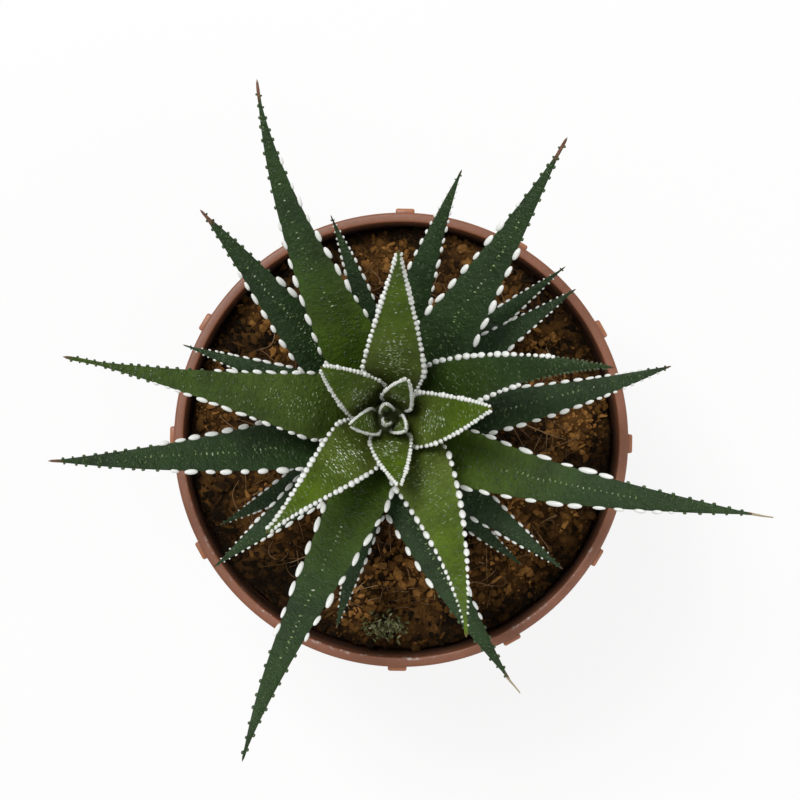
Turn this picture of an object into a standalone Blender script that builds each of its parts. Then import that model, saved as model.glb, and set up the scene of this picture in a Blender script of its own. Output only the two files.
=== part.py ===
"""Potted zebra haworthia: a rosette of tapering succulent leaves on a short stem, in a plastic pot of compost.

Run it with blender --background --python part.py, or from Blender's text editor. Units are metres, +Z is up,
and the origin is the middle of the pot's base, on the surface that the pot stands on.
"""

import math
from dataclasses import dataclass

import bmesh
import bpy
from mathutils import Matrix, Vector

MM = 0.001
GAP = 0.3 * MM  # clearance between pieces that touch

# The pot
RIM_RADIUS = 60 * MM
RIM_WIDTH = 2.6 * MM
POT_HEIGHT = 92 * MM
BASE_RADIUS = 42 * MM
WALL = 1.2 * MM
COLLAR_HEIGHT = 14 * MM
COLLAR_STEP = 1.6 * MM
DRAFT = 1.0 * MM  # how much the collar narrows towards its foot
RIM_ROUND = 0.5 * MM
CHANNEL_INNER = 25 * MM
CHANNEL_OUTER = 37.5 * MM
CHANNEL_RISE = 2.5 * MM
RIB_COUNT = 12
RIB_TURN = math.radians(-1)
RIB_WIDTH = 5 * MM
RIB_PROUD = 1.1 * MM
RIB_HEIGHT = 9 * MM
RIB_DROP = 0.9 * MM  # from the rim's top face down to the top of a rib
DRAIN_COUNT = 8
DRAIN_RADIUS = 2.6 * MM
TURN_STEPS = 60

# The compost
SOIL_DROP = 8 * MM  # from the rim down to the compost at the wall
SOIL_MOUND = 1.5 * MM
SOIL_AT_WALL = POT_HEIGHT - SOIL_DROP
CROWN_LEVEL = SOIL_AT_WALL + SOIL_MOUND

# The plant
PLANT_AXIS = Vector((-3.2 * MM, 6.0 * MM, 0))  # the rosette grew a little off the pot's middle
STEM_RADIUS = 8 * MM
STEM_ROOT_RADIUS = 6 * MM
STEM_ROOT_DEPTH = 14 * MM
LEAF_PITCH = 0.9 * MM  # the height on the stem from one leaf to the next
LEAF_FIRST_HEIGHT = 4 * MM
CROWN_FULLNESS = 7.0  # how many leaves it takes for the stem to reach two thirds of its radius
STEEPEST = 88.0  # degrees at which the youngest leaf leaves the stem
EASING = 2.3  # degrees by which each older leaf lies flatter
NEAR_PULL = 0.32  # share of a leaf's length over which it keeps the direction in which it leaves the stem
FAR_PULL = 0.3  # the same for the direction of its end
ARCHING = 0.6  # how much flatter than its chord a leaf ends, as a share of how much steeper it starts
STATIONS = (0, 0.06, 0.14, 0.24, 0.36, 0.5, 0.65, 0.8, 0.92)
BASE_SHARE = 0.72  # a leaf's width where it leaves the stem, as a share of its widest
WIDEST_AT = 0.25
MOST_WRAP = 1.05  # radians that a leaf's edge may reach round the stem
CROWN = 0.10  # height of the upper face above the edges, as a share of the half width
KEEL_AT_BASE = 0.30  # depth of the keel below the edges, as a share of the half width
KEEL = 0.56


@dataclass(frozen=True)
class Leaf:
    """One leaf. Angles are in degrees anticlockwise from +X seen from above, lengths in millimetres."""

    leaves_stem_at: float  # direction in which it leaves the stem
    points_to: float  # direction of its tip from the plant's axis
    reach: float  # how far out the tip is
    rise: float  # how high the tip is above the compost at the wall
    width: float
    taper: float = 1.0  # above 1 it narrows early, below 1 late
    hook: float = 0.0  # how far its end turns aside, anticlockwise seen from above
    roll: float = 0.0  # how far its upper face turns to its right, looking outwards


# From the youngest, in the middle, to the oldest, at the foot.
LEAVES = (
    Leaf(241, 241, 1.5, 44, 3),
    Leaf(103, 103, 3.5, 47, 4),
    Leaf(-34, -34, 5, 50, 5.5),
    Leaf(195, 190, 9.5, 56, 7.5),
    Leaf(64, 64, 10.5, 60, 9),
    Leaf(-87, -80, 16, 65, 12),
    Leaf(139, 142, 20, 70, 13, taper=0.9),
    Leaf(-8, 6, 24.5, 74, 15.5),
    Leaf(221, 223, 37.5, 88, 15.5, taper=1.2),
    Leaf(83, 86, 38, 95, 16),
    Leaf(-54, -70, 52, 90, 16.5, taper=1.3, hook=-20),
    Leaf(172, 169, 75.5, 82, 17, taper=1.5),
    Leaf(33, 13, 52, 94, 13.5, taper=1.2, hook=-22),
    Leaf(-106, -113, 86, 76, 14.5, hook=9),
    Leaf(118, 111, 85, 72, 15, taper=1.25, hook=-17),
    Leaf(-34, -14.5, 90, 66, 14.5, hook=8),
    Leaf(199, 187, 80.5, 68, 15, hook=-8, roll=18),
    Leaf(54, 57.5, 79.5, 62, 16, taper=1.25, hook=4),
    Leaf(-81, -65, 70.5, 50, 14, hook=11),
    Leaf(141, 132, 68.5, 50, 14),
    Leaf(-1, 10.5, 70, 52, 13, taper=0.9, hook=8, roll=-22),
    Leaf(226, 220.5, 58, 32, 11.5, hook=-2),
    Leaf(82, 73.5, 64, 44, 11, hook=-8),
    Leaf(-49, -41, 59, 26, 11.5, hook=3),
    Leaf(157, 160.5, 56, 24, 8),
    Leaf(36, 34.5, 58, 26, 10.5),
    Leaf(-102, -104, 56, 22, 10, hook=-2),
    Leaf(98, 106, 54, 24, 8, hook=7),
    Leaf(218, 212.5, 52, 17, 9.5, hook=-5),
    Leaf(46, 40.5, 60, 20, 8.5, hook=-3),
    Leaf(-60, -48, 52.5, 10, 9, hook=10),
)


def clear_scene():
    """Removes every object that the file opened with."""
    for obj in list(bpy.data.objects):
        bpy.data.objects.remove(obj)


def new_collection(name):
    """A collection in the scene."""
    collection = bpy.data.collections.new(name)
    bpy.context.scene.collection.children.link(collection)
    return collection


def material(name, colour, roughness):
    """A plain Principled material of that colour and roughness."""
    made = bpy.data.materials.new(name)
    made.use_nodes = True
    shader = made.node_tree.nodes["Principled BSDF"]
    shader.inputs["Base Color"].default_value = (*colour, 1)
    shader.inputs["Roughness"].default_value = roughness
    shader.inputs["Metallic"].default_value = 0
    return made


def add_object(name, mesh, collection, finish=None):
    """An object that shows the mesh, in the collection."""
    obj = bpy.data.objects.new(name, mesh)
    collection.objects.link(obj)
    if finish:
        mesh.materials.append(finish)
    return obj


def mesh_from(name, bm):
    """A mesh datablock from the bmesh, which is freed."""
    mesh = bpy.data.meshes.new(name)
    bm.to_mesh(mesh)
    bm.free()
    return mesh


def turned(name, profile, collection, finish=None):
    """A solid turned about its own Z axis from (radius, height) points that run down its outer side."""
    bm = bmesh.new()
    points = [bm.verts.new((radius, 0, height)) for radius, height in profile]
    for first, second in zip(points, points[1:]):
        bm.edges.new((first, second))
    obj = add_object(name, mesh_from(name, bm), collection, finish)
    screw = obj.modifiers.new("turn", "SCREW")
    screw.axis = "Z"
    screw.steps = TURN_STEPS
    screw.render_steps = TURN_STEPS
    screw.use_merge_vertices = True
    screw.merge_threshold = 0.0001 * MM * 1000
    return obj


def boolean(obj, operation, other):
    """Adds an exact Boolean of the object with another."""
    modifier = obj.modifiers.new(operation.lower(), "BOOLEAN")
    modifier.operation = operation
    modifier.object = other
    modifier.solver = "EXACT"


def make_helper(obj):
    """Marks a cutter or another helper, which isn't part of the object."""
    obj.hide_render = True
    obj.display_type = "WIRE"
    return obj


# ---------------------------------------------------------------- pot


def wall_radius(height):
    """The outer radius of the tapering wall at a height."""
    top = RIM_RADIUS - DRAFT - COLLAR_STEP
    return BASE_RADIUS + (top - BASE_RADIUS) * height / (POT_HEIGHT - COLLAR_HEIGHT)


def pot_profile():
    """(radius, height) points round the pot's wall: down outside, across the base, then up inside."""
    collar_foot = POT_HEIGHT - COLLAR_HEIGHT
    foot = 1.6 * MM
    outside = [
        (RIM_RADIUS - RIM_ROUND, POT_HEIGHT),
        (RIM_RADIUS - 0.15 * MM, POT_HEIGHT - 0.15 * MM),
        (RIM_RADIUS, POT_HEIGHT - RIM_ROUND),
        (RIM_RADIUS - DRAFT, collar_foot),
        (wall_radius(collar_foot - 0.8 * MM), collar_foot - 0.8 * MM),
        (wall_radius(foot), foot),
        (BASE_RADIUS - 0.8 * MM, 0),
        (CHANNEL_OUTER + 1 * MM, 0),
        (CHANNEL_OUTER, CHANNEL_RISE),
        (CHANNEL_INNER + 1 * MM, CHANNEL_RISE),
        (CHANNEL_INNER, 0),
        (0, 0),
    ]
    inside = [
        (0, WALL),
        (CHANNEL_INNER - 0.6 * MM, WALL),
        (CHANNEL_INNER + 0.4 * MM, CHANNEL_RISE + WALL),
        (wall_radius(CHANNEL_RISE + WALL) - WALL, CHANNEL_RISE + WALL),
        (wall_radius(collar_foot - 2 * MM) - WALL, collar_foot - 2 * MM),
        (RIM_RADIUS - DRAFT - RIM_WIDTH + 0.6 * MM, collar_foot + 1 * MM),
        (RIM_RADIUS - RIM_WIDTH, POT_HEIGHT - 3 * MM),
        (RIM_RADIUS - RIM_WIDTH, POT_HEIGHT - 0.3 * MM),
        (RIM_RADIUS - RIM_WIDTH + 0.3 * MM, POT_HEIGHT),
    ]
    return outside + inside + outside[:1]


def ribs(collection):
    """The grip ribs that stand out all round the collar, as one helper mesh of separate blocks."""
    bm = bmesh.new()
    depth = RIB_PROUD + 1.4 * MM
    middle = RIM_RADIUS + RIB_PROUD - depth / 2
    height = POT_HEIGHT - RIB_DROP - RIB_HEIGHT / 2
    for i in range(RIB_COUNT):
        turn = Matrix.Rotation(math.tau * i / RIB_COUNT + RIB_TURN, 4, "Z")
        place = turn @ Matrix.Translation((middle, 0, height))
        size = Matrix.Diagonal((depth, RIB_WIDTH, RIB_HEIGHT, 1))
        block = bmesh.ops.create_cube(bm, size=1, matrix=place @ size)["verts"]
        edges = {e for v in block for e in v.link_edges}
        outer = [e for e in edges if min(v.co.to_2d().length for v in e.verts) > RIM_RADIUS]
        bmesh.ops.bevel(bm, geom=outer, offset=0.4 * MM, segments=1, affect="EDGES")
    return make_helper(add_object("rib_blocks", mesh_from("rib_blocks", bm), collection))


def drains(collection):
    """Cutters for the drain holes in the raised channel of the base."""
    bm = bmesh.new()
    ring = (CHANNEL_INNER + CHANNEL_OUTER) / 2
    for i in range(DRAIN_COUNT):
        angle = math.tau * (i + 0.5) / DRAIN_COUNT
        place = Matrix.Translation((ring * math.cos(angle), ring * math.sin(angle), CHANNEL_RISE))
        bmesh.ops.create_cone(
            bm,
            cap_ends=True,
            segments=12,
            radius1=DRAIN_RADIUS,
            radius2=DRAIN_RADIUS,
            depth=4 * WALL,
            matrix=place,
        )
    return make_helper(add_object("drain_cutters", mesh_from("drain_cutters", bm), collection))


def make_pot(collection, helpers, finish):
    """The terracotta-coloured pot with its rim, ribbed collar and drained base."""
    pot = turned("pot", pot_profile(), collection, finish)
    boolean(pot, "UNION", ribs(helpers))
    boolean(pot, "DIFFERENCE", drains(helpers))
    return pot


# ---------------------------------------------------------------- compost and stem


def soil_profile():
    """(radius, height) points of the compost that fills the pot, from the top at the wall downwards."""
    floor = CHANNEL_RISE + WALL + GAP
    collar_foot = POT_HEIGHT - COLLAR_HEIGHT
    return [
        (0, CROWN_LEVEL),
        (16 * MM, CROWN_LEVEL),
        (34 * MM, SOIL_AT_WALL + 0.6 * SOIL_MOUND),
        (50 * MM, SOIL_AT_WALL + 0.1 * SOIL_MOUND),
        (RIM_RADIUS - RIM_WIDTH - 1.4 * MM, SOIL_AT_WALL - 0.8 * MM),
        (RIM_RADIUS - RIM_WIDTH - 1.6 * MM, collar_foot + 3 * MM),
        (wall_radius(collar_foot - 2 * MM) - WALL - GAP, collar_foot - 2.4 * MM),
        (wall_radius(floor) - WALL - GAP, floor),
        (CHANNEL_INNER + 0.1 * MM, floor),
        (CHANNEL_INNER - 0.9 * MM, WALL + GAP),
        (0, WALL + GAP),
    ]


def leaf_radius(order):
    """How far from the plant's axis the leaf of that order joins the stem, counted from the youngest at 1."""
    return STEM_RADIUS * (1 - math.exp(-order / CROWN_FULLNESS))


def leaf_height(order):
    """The height at which the leaf of that order joins the stem."""
    return SOIL_AT_WALL + LEAF_FIRST_HEIGHT + LEAF_PITCH * (len(LEAVES) - order)


def stem_profile():
    """(radius, height) points of the stem, from the growing tip down to the end of the root crown."""
    clear = 0.5 * MM + GAP
    steps = (1.4, 2, 3, 4.5, 6.5, 9, 13, 19, len(LEAVES))
    crown = [(leaf_radius(n) - clear, leaf_height(n)) for n in steps]
    return [
        (0, leaf_height(steps[0]) + 0.6 * MM),
        *crown,
        (STEM_ROOT_RADIUS, CROWN_LEVEL),
        (STEM_ROOT_RADIUS - 0.5 * MM, CROWN_LEVEL - STEM_ROOT_DEPTH + 1 * MM),
        (STEM_ROOT_RADIUS - 2 * MM, CROWN_LEVEL - STEM_ROOT_DEPTH),
        (0, CROWN_LEVEL - STEM_ROOT_DEPTH),
    ]


def make_soil(collection, helpers, finish):
    """The plug of compost, with the socket that holds the root crown."""
    soil = turned("soil", soil_profile(), collection, finish)
    bm = bmesh.new()
    depth = STEM_ROOT_DEPTH + GAP
    bmesh.ops.create_cone(
        bm,
        cap_ends=True,
        segments=24,
        radius1=STEM_ROOT_RADIUS + GAP,
        radius2=STEM_ROOT_RADIUS + GAP,
        depth=2 * depth,
        matrix=Matrix.Translation(PLANT_AXIS + Vector((0, 0, CROWN_LEVEL))),
    )
    socket = make_helper(add_object("root_socket", mesh_from("root_socket", bm), helpers))
    boolean(soil, "DIFFERENCE", socket)
    return soil


def make_stem(collection, finish):
    """The short stem that carries the leaves, and its root crown in the compost."""
    stem = turned("stem", stem_profile(), collection, finish)
    stem.location = PLANT_AXIS
    stem.modifiers["turn"].steps = 20
    stem.modifiers["turn"].render_steps = 20
    return stem


# ---------------------------------------------------------------- leaves


def smooth_step(x):
    """0 below 0, 1 above 1, and a smooth ramp between."""
    x = min(1.0, max(0.0, x))
    return x * x * (3 - 2 * x)


def heading(azimuth, elevation):
    """The unit vector of that azimuth and elevation, both in degrees."""
    level = math.cos(math.radians(elevation))
    turn = math.radians(azimuth)
    return Vector((level * math.cos(turn), level * math.sin(turn), math.sin(math.radians(elevation))))


def spine_points(leaf, order):
    """The four control points of the leaf's spine, from the plant's axis at the base's level."""
    start = heading(leaf.leaves_stem_at, 0) * leaf_radius(order)
    start.z = leaf_height(order)
    tip = heading(leaf.points_to, 0) * leaf.reach * MM
    tip.z = SOIL_AT_WALL + leaf.rise * MM
    chord = tip - start
    slope = math.degrees(math.asin(chord.z / chord.length))
    lift = STEEPEST - EASING * order
    leaving = heading(leaf.leaves_stem_at, lift)
    ending = heading(leaf.points_to + leaf.hook, slope - ARCHING * (lift - slope))
    return start, start + leaving * NEAR_PULL * chord.length, tip - ending * FAR_PULL * chord.length, tip


def half_width(leaf, t, radius):
    """Half the leaf's width at share t of its length, limited by how far it may reach round the stem."""
    if t < WIDEST_AT:
        share = BASE_SHARE + (1 - BASE_SHARE) * smooth_step(t / WIDEST_AT)
    else:
        share = (1 - (t - WIDEST_AT) / (1 - WIDEST_AT)) ** leaf.taper
    free = share * leaf.width * MM / 2
    wrapped = MOST_WRAP * radius
    return (free**-4 + wrapped**-4) ** -0.25


def section(leaf, order, t):
    """The eight points round the leaf at share t of its length: edge, upper face, edge, keel side."""
    a, b, c, d = spine_points(leaf, order)
    s = 1 - t
    middle = a * s**3 + b * 3 * s * s * t + c * 3 * s * t * t + d * t**3
    along = ((b - a) * s * s + (c - b) * 2 * s * t + (d - c) * t * t).normalized()
    across = Vector((0, 0, 1)).cross(along).normalized()
    up = along.cross(across)
    radius = middle.to_2d().length
    half = half_width(leaf, t, radius)
    keel = half * (KEEL_AT_BASE + (KEEL - KEEL_AT_BASE) * smooth_step(t / 0.45))
    crown = half * CROWN
    outline = [(u, crown * (1 - u * u)) for u in (1, 0.55, 0, -0.55, -1)]
    outline += [(u, -keel * (1 - abs(u) ** 1.6)) for u in (-0.6, 0, 0.6)]
    lean = Matrix.Rotation(math.radians(leaf.roll) * smooth_step(t / 0.4), 3, along)
    points = []
    for u, height in outline:
        wrap = Matrix.Rotation(u * half / radius, 3, "Z")
        point = wrap @ (middle + up * height)
        points.append(middle + lean @ (point - middle) + PLANT_AXIS)
    return points


def make_leaf(leaf, order, collection, finish):
    """One leaf, lofted through its sections from the stem to a sharp tip."""
    bm = bmesh.new()
    rings = [[bm.verts.new(p) for p in section(leaf, order, t)] for t in STATIONS]
    tip = bm.verts.new(spine_points(leaf, order)[3] + PLANT_AXIS)
    count = len(rings[0])
    for near, far in zip(rings, rings[1:]):
        for i in range(count):
            j = (i + 1) % count
            bm.faces.new((near[i], near[j], far[j], far[i]))
    for i in range(count):
        bm.faces.new((rings[-1][i], rings[-1][(i + 1) % count], tip))
    bm.faces.new(rings[0][::-1])
    bmesh.ops.recalc_face_normals(bm, faces=bm.faces)
    name = f"leaf_{order:02d}"
    return add_object(name, mesh_from(name, bm), collection, finish)


def main():
    """Builds the pot, the compost, the stem and every leaf."""
    clear_scene()
    parts = new_collection("potted_haworthia")
    helpers = new_collection("cutters")
    make_pot(parts, helpers, material("pot_plastic", (0.36, 0.14, 0.09), 0.45))
    make_soil(parts, helpers, material("compost", (0.09, 0.045, 0.02), 0.95))
    make_stem(parts, material("stem_tissue", (0.30, 0.33, 0.16), 0.6))
    green = material("leaf_green", (0.05, 0.13, 0.035), 0.4)
    for order, leaf in enumerate(LEAVES, start=1):
        make_leaf(leaf, order, parts, green)


main()
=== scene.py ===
"""Looks of the potted zebra haworthia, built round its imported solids.

Lengths are in millimetres where a name or comment says so, and in metres elsewhere. +Z is up.
"""

import logging
import math
from dataclasses import dataclass, field
from enum import Enum
from random import Random

import bmesh
import bpy
from mathutils import Matrix, Vector, noise

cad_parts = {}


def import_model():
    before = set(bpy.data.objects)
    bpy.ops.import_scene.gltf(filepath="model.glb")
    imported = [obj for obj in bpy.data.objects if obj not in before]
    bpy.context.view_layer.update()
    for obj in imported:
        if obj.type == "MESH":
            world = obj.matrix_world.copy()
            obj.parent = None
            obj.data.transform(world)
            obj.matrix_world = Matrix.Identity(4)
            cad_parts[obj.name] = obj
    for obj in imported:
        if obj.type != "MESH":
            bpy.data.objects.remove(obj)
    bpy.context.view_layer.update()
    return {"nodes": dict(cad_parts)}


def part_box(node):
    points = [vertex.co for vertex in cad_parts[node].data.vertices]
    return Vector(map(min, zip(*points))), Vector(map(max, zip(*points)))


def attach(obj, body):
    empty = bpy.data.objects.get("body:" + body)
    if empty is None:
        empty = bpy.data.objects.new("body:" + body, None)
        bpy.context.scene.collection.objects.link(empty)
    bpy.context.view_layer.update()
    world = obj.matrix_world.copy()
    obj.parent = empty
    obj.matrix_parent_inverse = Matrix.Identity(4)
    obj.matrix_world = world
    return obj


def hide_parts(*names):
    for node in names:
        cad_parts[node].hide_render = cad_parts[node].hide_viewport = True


LOG = logging.getLogger("haworthia")
MM = 0.001
BODY = "root"
CORNER_STEPS = 4
WELD = 0.01 * MM
Colour = tuple[float, float, float]
Socket = bpy.types.NodeSocket
Piece = bpy.types.Object
Mesh = bpy.types.Mesh
Material = bpy.types.Material
BMesh = bmesh.types.BMesh


# ------------------------------------------------------------------ meshes


def mesh_of(name: str, bm: BMesh) -> Mesh:
    """Writes a bmesh to a new mesh of that name, and frees it."""
    mesh = bpy.data.meshes.new(name)
    bm.to_mesh(mesh)
    bm.free()
    return mesh


def linked(name: str, data: bpy.types.ID) -> Piece:
    """Adds an object with that data to the scene."""
    made = bpy.data.objects.new(name, data)
    bpy.context.scene.collection.objects.link(made)
    return made


def paint(mesh: Mesh, name: str, values: list[float]) -> None:
    """Gives a mesh's points an attribute with those values."""
    mesh.attributes.new(name, "FLOAT", "POINT").data.foreach_set("value", values)


def piece_of(mesh: Mesh, look: Material, smooth: bool = True) -> Piece:
    """Makes a piece of the object, which rides with the body.

    Args:
        mesh: Its finished mesh, whose name it takes.
        look: Its material.
        smooth: Whether its faces are shaded smooth.

    Returns:
        The piece, at the origin with its place in its mesh.
    """
    if smooth:
        mesh.shade_smooth()
    mesh.materials.clear()
    mesh.materials.append(look)
    piece = linked(mesh.name, mesh)
    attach(piece, BODY)
    return piece


def turned(profile: list[tuple[float, float]], steps: int) -> BMesh:
    """Spins an outline round the Z axis.

    Args:
        profile: (radius, height) points in millimetres, closed or ending on the axis.
        steps: How many steps the turn has.

    Returns:
        The closed shape with its faces outwards.
    """
    bm = bmesh.new()
    points = [bm.verts.new((r * MM, 0, z * MM)) for r, z in profile]
    edges = [bm.edges.new(pair) for pair in zip(points, points[1:])]
    bmesh.ops.spin(
        bm, geom=points + edges, cent=(0, 0, 0), axis=(0, 0, 1), angle=math.tau, steps=steps, use_merge=True
    )
    bmesh.ops.remove_doubles(bm, verts=bm.verts, dist=WELD)
    bmesh.ops.recalc_face_normals(bm, faces=bm.faces)
    return bm


def rounded(a: tuple[float, float], b: tuple[float, float], c: tuple[float, float], r: float) -> list:
    """Rounds the corner b of an outline.

    Args:
        a: The point before the corner.
        b: The corner.
        c: The point after it.
        r: How far from the corner the rounding starts.

    Returns:
        The points of the rounding.
    """
    p, q, s = Vector(a), Vector(b), Vector(c)
    start, end = q + (p - q).normalized() * r, q + (s - q).normalized() * r
    steps = [i / CORNER_STEPS for i in range(CORNER_STEPS + 1)]
    return [tuple(start * (1 - t) ** 2 + q * 2 * t * (1 - t) + end * t * t) for t in steps]


def outline(corners: list[tuple[float, float, float]]) -> list[tuple[float, float]]:
    """An outline whose corners are rounded.

    Args:
        corners: (radius, height, rounding) of each corner, all in millimetres.

    Returns:
        The outline's (radius, height) points, open at both ends.
    """
    points = [corners[0][:2]]
    for before, here, after in zip(corners, corners[1:], corners[2:]):
        if here[2]:
            points += rounded(before[:2], here[:2], after[:2], here[2])
        else:
            points.append(here[:2])
    return points + [corners[-1][:2]]


def bead_template(around: int, high: int) -> Mesh:
    """A ball of radius 1 with few faces.

    Args:
        around: Its segments round the axis.
        high: Its rings from pole to pole.

    Returns:
        The mesh to copy.
    """
    bm = bmesh.new()
    bmesh.ops.create_uvsphere(bm, u_segments=around, v_segments=high, radius=1)
    bmesh.ops.rotate(bm, verts=bm.verts, cent=(0, 0, 0), matrix=Matrix.Rotation(math.pi / 2, 3, "Y"))
    return mesh_of("bead", bm)


def crumb_template(rng: Random, squash: float) -> Mesh:
    """An angular grain about 2 across.

    Args:
        rng: Where its unevenness comes from.
        squash: How far its points are pushed about.

    Returns:
        The mesh to copy.
    """
    bm = bmesh.new()
    bmesh.ops.create_icosphere(bm, subdivisions=1, radius=1)
    for vert in bm.verts:
        vert.co *= rng.uniform(1 - squash, 1 + squash)
    return mesh_of("crumb", bm)


def strand_template(rng: Random, bend: float) -> Mesh:
    """A thin crooked strand of length 1 along X, and radius 1 across.

    Args:
        rng: Where its bends come from.
        bend: How far it strays from a straight line.

    Returns:
        The mesh to copy.
    """
    bm = bmesh.new()
    bmesh.ops.create_cone(bm, cap_ends=True, segments=5, radius1=1, radius2=0.45, depth=1)
    sides = [e for e in bm.edges if abs((e.verts[0].co - e.verts[1].co).z) > 0.5]
    bmesh.ops.subdivide_edges(bm, edges=sides, cuts=5)
    bmesh.ops.rotate(bm, verts=bm.verts, cent=(0, 0, 0), matrix=Matrix.Rotation(math.pi / 2, 3, "Y"))
    phase, twist = rng.uniform(0, math.tau), rng.uniform(1.5, 4)
    for vert in bm.verts:
        along = vert.co.x
        vert.co.y += bend * math.sin(phase + twist * along)
        vert.co.z += 0.5 * bend * math.cos(phase * 2 + 1.7 * twist * along)
    return mesh_of("strand", bm)


class Strewn:
    """Many small copies of a few shapes, joined in one piece, each with a shade of its own."""

    def __init__(self) -> None:
        """Starts with no copies."""
        self.bm = bmesh.new()
        self.shades: list[float] = []

    def add(self, template: Mesh, place: Matrix, shade: float) -> None:
        """Adds one copy.

        Args:
            template: The shape to copy.
            place: Its place, turn and size.
            shade: From 0 to 1, for the material.
        """
        template.transform(place)
        self.bm.from_mesh(template)
        template.transform(place.inverted())
        self.shades += [shade] * len(template.vertices)

    def piece(self, name: str, look: Material, smooth: bool = True) -> Piece:
        """Joins the copies.

        Args:
            name: The piece's name.
            look: Its material, which may read the attribute "shade".
            smooth: Whether its faces are shaded smooth.

        Returns:
            The piece.
        """
        mesh = mesh_of(name, self.bm)
        paint(mesh, "shade", self.shades)
        return piece_of(mesh, look, smooth)


def placed(at: Vector, along: Vector, up: Vector, size: tuple[float, float, float]) -> Matrix:
    """A place, turn and size.

    Args:
        at: Where the middle is.
        along: The direction of the copy's X axis.
        up: The direction that its Z axis leans to.
        size: Its scale along X, Y and Z.

    Returns:
        The matrix.
    """
    x = along.normalized()
    y = up.cross(x).normalized()
    z = x.cross(y)
    turn = Matrix((x * size[0], y * size[1], z * size[2])).transposed().to_4x4()
    return Matrix.Translation(at) @ turn


# ------------------------------------------------------------------ finishes


class Nodes:
    """Adds nodes to a material or a node group."""

    def __init__(self, tree: bpy.types.NodeTree) -> None:
        """Works on that node tree."""
        self.tree = tree

    def add(self, kind: str, *links: object, **values: object) -> bpy.types.Node:
        """Adds a node.

        Args:
            kind: The node's type without the prefix ShaderNode.
            links: What its inputs get, in order: a socket, a number, a colour, or None to leave one as it is.
            values: Its properties.

        Returns:
            The node.
        """
        node = self.tree.nodes.new("ShaderNode" + kind)
        for key, value in values.items():
            setattr(node, key, value)
        for socket, value in zip([s for s in node.inputs if s.enabled], links):
            self.feed(socket, value)
        return node

    def feed(self, socket: Socket, value: object) -> None:
        """Links a socket, or sets its value.

        Args:
            socket: The input.
            value: A socket to link, a number or colour to set, or None.
        """
        if isinstance(value, Socket):
            self.tree.links.new(value, socket)
        elif value is not None:
            if isinstance(value, tuple) and len(value) == 3 and socket.type == "RGBA":
                value = (*value, 1)
            socket.default_value = value

    def mix(self, share: object, a: object, b: object, way: str = "MIX") -> Socket:
        """Mixes two colours and returns the result."""
        node = self.tree.nodes.new("ShaderNodeMix")
        node.data_type = "RGBA"
        node.blend_type = way
        for index, value in ((0, share), (6, a), (7, b)):
            self.feed(node.inputs[index], value)
        return node.outputs[2]

    def maths(self, way: str, *values: object) -> Socket:
        """Adds a Math node and returns its result."""
        return self.add("Math", *values, operation=way).outputs[0]

    def times(self, a: object, b: object) -> Socket:
        """Multiplies two values and returns the result."""
        return self.maths("MULTIPLY", a, b)

    def ramp(self, value: object, low: float, high: float) -> Socket:
        """Turns low to high into a smooth 0 to 1, and returns the result."""
        node = self.add("MapRange", value, low, high, 0.0, 1.0, interpolation_type="SMOOTHSTEP")
        return node.outputs[0]

    def noise(
        self, where: object, scale: float, detail: float = 3, rough: float = 0.6
    ) -> Socket:
        """Adds a noise of that scale and returns its value."""
        node = self.add("TexNoise", noise_dimensions="3D")
        self.feed(node.inputs["Vector"], where)
        for name, value in (("Scale", scale), ("Detail", detail), ("Roughness", rough)):
            self.feed(node.inputs[name], value)
        return node.outputs["Fac"]


def mottle_group() -> bpy.types.NodeTree:
    """The node group that varies a colour in soft clouds and in fine grains, for every finish.

    Returns:
        The group: Colour, Cloud Size, Grain Size and Amount in, Colour and Grain out.
    """
    if "mottle" in bpy.data.node_groups:
        return bpy.data.node_groups["mottle"]
    group = bpy.data.node_groups.new("mottle", "ShaderNodeTree")
    for name, kind, value in (
        ("Colour", "NodeSocketColor", None),
        ("Cloud Size", "NodeSocketFloat", 120.0),
        ("Grain Size", "NodeSocketFloat", 1800.0),
        ("Amount", "NodeSocketFloat", 0.3),
    ):
        socket = group.interface.new_socket(name, in_out="INPUT", socket_type=kind)
        if value:
            socket.default_value = value
    group.interface.new_socket("Colour", in_out="OUTPUT", socket_type="NodeSocketColor")
    group.interface.new_socket("Grain", in_out="OUTPUT", socket_type="NodeSocketFloat")
    nodes = Nodes(group)
    given = group.nodes.new("NodeGroupInput")
    result = group.nodes.new("NodeGroupOutput")
    where = nodes.add("TexCoord").outputs["Object"]
    cloud = nodes.noise(where, given.outputs["Cloud Size"])
    grain = nodes.noise(where, given.outputs["Grain Size"], 4, 0.7)
    both = nodes.maths("ADD", nodes.times(cloud, 1.2), nodes.times(grain, 0.8))
    level = nodes.maths("SUBTRACT", both, 1.0)
    strength = nodes.times(given.outputs["Amount"], 4.0)
    factor = nodes.maths("ADD", nodes.times(level, strength), 1.0)
    tint = nodes.add("CombineColor", factor, factor, factor).outputs[0]
    group.links.new(nodes.mix(1.0, given.outputs["Colour"], tint, "MULTIPLY"), result.inputs["Colour"])
    group.links.new(grain, result.inputs["Grain"])
    return group


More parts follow.
